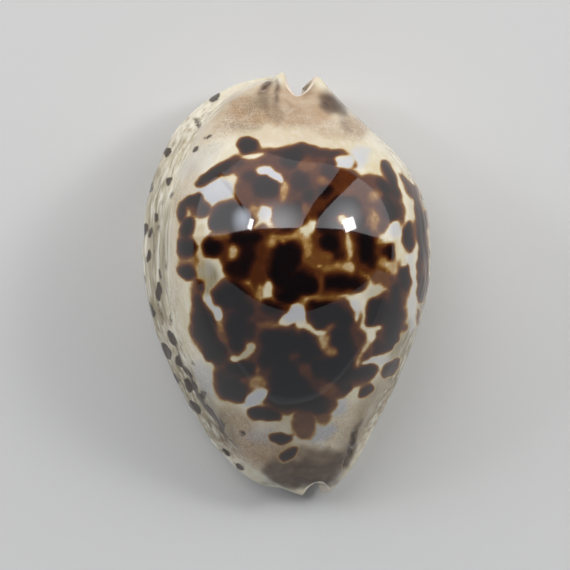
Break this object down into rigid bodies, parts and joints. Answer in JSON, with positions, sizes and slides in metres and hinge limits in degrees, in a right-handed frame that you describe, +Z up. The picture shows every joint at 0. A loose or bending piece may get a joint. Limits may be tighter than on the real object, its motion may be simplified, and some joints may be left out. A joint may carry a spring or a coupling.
{
  "type": "cowrie shell",
  "caption": "Large glossy cowrie shell: egg-shaped humped back, thick rolled margin, toothed slit along a nearly flat base, notched at both ends. Rests on its base.",
  "frame": {"origin": "On the floor under the middle of the shell's bounding box, the shell resting on its base.", "axes": "+Z up through the back. +Y points to the rear (posterior) end and -Y to the front (anterior) end, along the slit. +X is the inner lip's side and -X the outer lip's side."},
  "size_m": [0.0544, 0.0804, 0.043],
  "materials": {
    "enamel": "glossy"
  },
  "bodies": {
    "root": {"shell": "enamel"}
  },
  "joints": []
}
